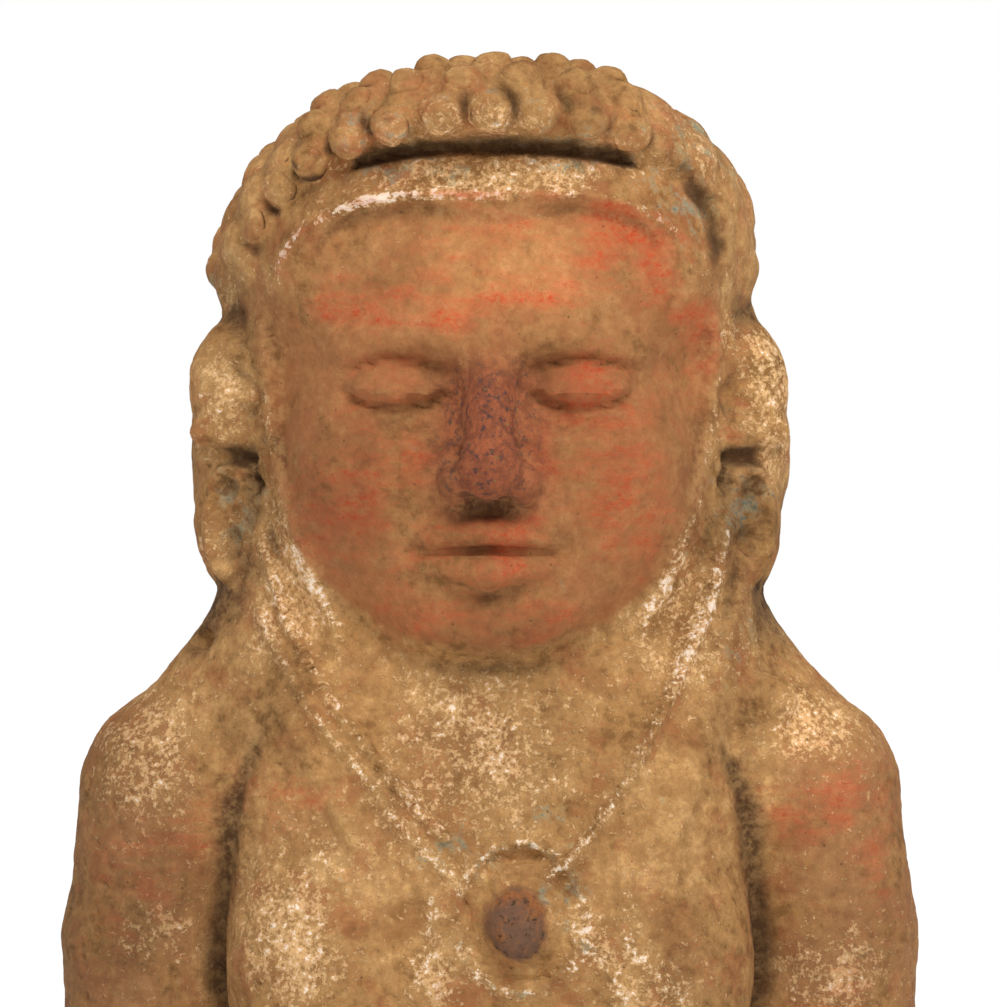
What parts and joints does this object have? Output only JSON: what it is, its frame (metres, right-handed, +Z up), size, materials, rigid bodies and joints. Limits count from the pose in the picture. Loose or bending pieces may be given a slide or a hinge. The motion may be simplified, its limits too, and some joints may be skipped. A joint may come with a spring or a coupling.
{
  "type": "pottery figure whistle",
  "caption": "Hollow fired-clay whistle in the form of a standing robed figure with a beaded roll headdress, blown from the back.",
  "frame": {"origin": "middle of the flat underside of the base", "axes": "+Z up along the figure's height, the figure faces -Y, and the whistle's duct is at its back on +Y"},
  "size_m": [0.0752, 0.0557, 0.1742],
  "materials": {
    "fired_clay": "unglazed fired clay, matte, with worn cream slip, red-orange and blue-green paint"
  },
  "bodies": {
    "root": {"figure_whistle": "fired_clay"}
  },
  "joints": []
}
